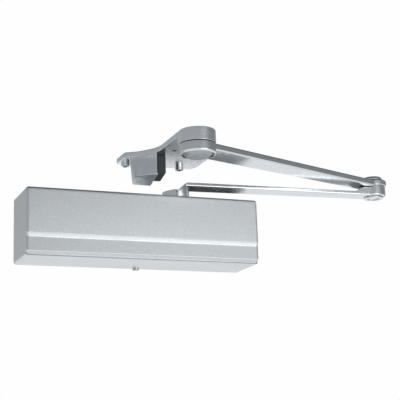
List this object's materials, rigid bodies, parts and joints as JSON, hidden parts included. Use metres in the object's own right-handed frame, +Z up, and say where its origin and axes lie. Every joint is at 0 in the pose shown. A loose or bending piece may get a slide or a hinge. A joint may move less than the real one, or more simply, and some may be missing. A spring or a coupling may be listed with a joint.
{
  "type": "surface-mounted door closer",
  "caption": "Hydraulic door closer with a stepped box cover, a folding two-part arm and a frame shoe that carries a rubber-buffered stop block.",
  "frame": {"origin": "centre of the four fixing holes, in the face that lies on the door", "axes": "+Y into the door; +X along the door, from the spring end to the valve end; +Z up, towards the arms"},
  "size_m": [0.5216, 0.1892, 0.1464],
  "materials": {
    "cover_paint": "satin silver paint on pressed steel",
    "forged_arm": "glossy silver paint over forged steel",
    "shoe_paint": "glossy silver paint over cast steel",
    "cast_body": "cast, grey paint",
    "machined_steel": "turned",
    "hardened_steel": "ground",
    "spring_steel": "oiled spring wire",
    "zinc_plate": "bright zinc plate",
    "bronze_bush": "sintered",
    "seal_rubber": "moulded",
    "buffer_rubber": "moulded black rubber"
  },
  "bodies": {
    "closer": {"cylinder_body": "cast_body", "spring_end_cap": "machined_steel", "spring_end_seal": "seal_rubber", "valve_end_cap": "machined_steel", "valve_end_seal": "seal_rubber", "upper_bearing": "hardened_steel", "lower_bearing": "hardened_steel", "upper_seal": "seal_rubber", "lower_seal": "seal_rubber", "upper_bearing_nut": "machined_steel", "lower_bearing_nut": "machined_steel", "cover_bracket": "zinc_plate", "bracket_screw": "zinc_plate", "cover_screw": "zinc_plate", "outer_spring": "spring_steel", "inner_spring": "spring_steel"},
    "spindle": {"pinion_shaft": "hardened_steel", "main_arm": "forged_arm", "arm_screw": "zinc_plate", "arm_washer": "zinc_plate", "elbow_bush": "bronze_bush"},
    "forearm": {"forearm": "forged_arm", "elbow_pin": "forged_arm", "elbow_collar": "forged_arm", "elbow_washer": "machined_steel", "pivot_bush": "bronze_bush"},
    "shoe": {"shoe_bracket": "shoe_paint", "pivot_stud": "shoe_paint", "pivot_washer": "machined_steel", "stop_block": "shoe_paint", "stop_bumper": "buffer_rubber", "stop_screws": "zinc_plate"},
    "piston": {"piston": "hardened_steel", "check_ball": "hardened_steel", "check_retainer": "machined_steel"},
    "power_screw": {"power_screw": "machined_steel"},
    "spring_seat": {"spring_seat": "machined_steel"},
    "sweep_valve": {"sweep_valve": "machined_steel", "sweep_valve_ring": "seal_rubber"},
    "latch_valve": {"latch_valve": "machined_steel", "latch_valve_ring": "seal_rubber"},
    "backcheck_valve": {"backcheck_valve": "machined_steel", "backcheck_valve_ring": "seal_rubber"},
    "cover": {"cover": "cover_paint"}
  },
  "joints": [
    {"name": "spindle_turn", "type": "hinge", "parent": "closer", "child": "spindle", "pos_m": [0.054, -0.035, 0.05], "axis": [0, 0, -1], "range_deg": [0, 160], "stiffness_Nm_per_rad": 6, "springref_deg": -45.84},
    {"name": "elbow_turn", "type": "hinge", "parent": "spindle", "child": "forearm", "pos_m": [0.34656, -0.05582, 0.075], "axis": [0, 0, 1], "range_deg": [-20, 150]},
    {"name": "shoe_turn", "type": "hinge", "parent": "forearm", "child": "shoe", "pos_m": [0.0342, -0.166, 0.086], "axis": [0, 0, 1], "range_deg": [-60, 120]},
    {"name": "piston_slide", "type": "slide", "parent": "closer", "child": "piston", "axis": [-1, 0, 0], "range_m": [0, 0.02942], "deforming": ["outer_spring", "inner_spring"]},
    {"name": "power_screw_turn", "type": "hinge", "parent": "closer", "child": "power_screw", "pos_m": [-0.127, -0.035, 0], "axis": [1, 0, 0], "range_deg": [0, 2165]},
    {"name": "spring_seat_slide", "type": "slide", "parent": "closer", "child": "spring_seat", "axis": [1, 0, 0], "range_m": [0, 0.009], "deforming": ["outer_spring", "inner_spring"]},
    {"name": "sweep_valve_turn", "type": "hinge", "parent": "closer", "child": "sweep_valve", "pos_m": [0.12, -0.0125, 0.0226], "axis": [1, 0, 0], "range_deg": [-360, 360]},
    {"name": "latch_valve_turn", "type": "hinge", "parent": "closer", "child": "latch_valve", "pos_m": [0.12, -0.0125, -0.0226], "axis": [1, 0, 0], "range_deg": [-360, 360]},
    {"name": "backcheck_valve_turn", "type": "hinge", "parent": "closer", "child": "backcheck_valve", "pos_m": [0.02, -0.0085, -0.0295], "axis": [0, 0, -1], "range_deg": [-360, 360]},
    {"name": "cover_pull", "type": "slide", "parent": "closer", "child": "cover", "axis": [0, -1, 0], "range_m": [0, 0.085]}
  ],
  "couplings": [
    {"joint": "piston_slide", "follows": "spindle_turn", "m_per_rad": 0.0105},
    {"joint": "power_screw_turn", "follows": "spring_seat_slide", "rad_per_m": 4188.8}
  ]
}
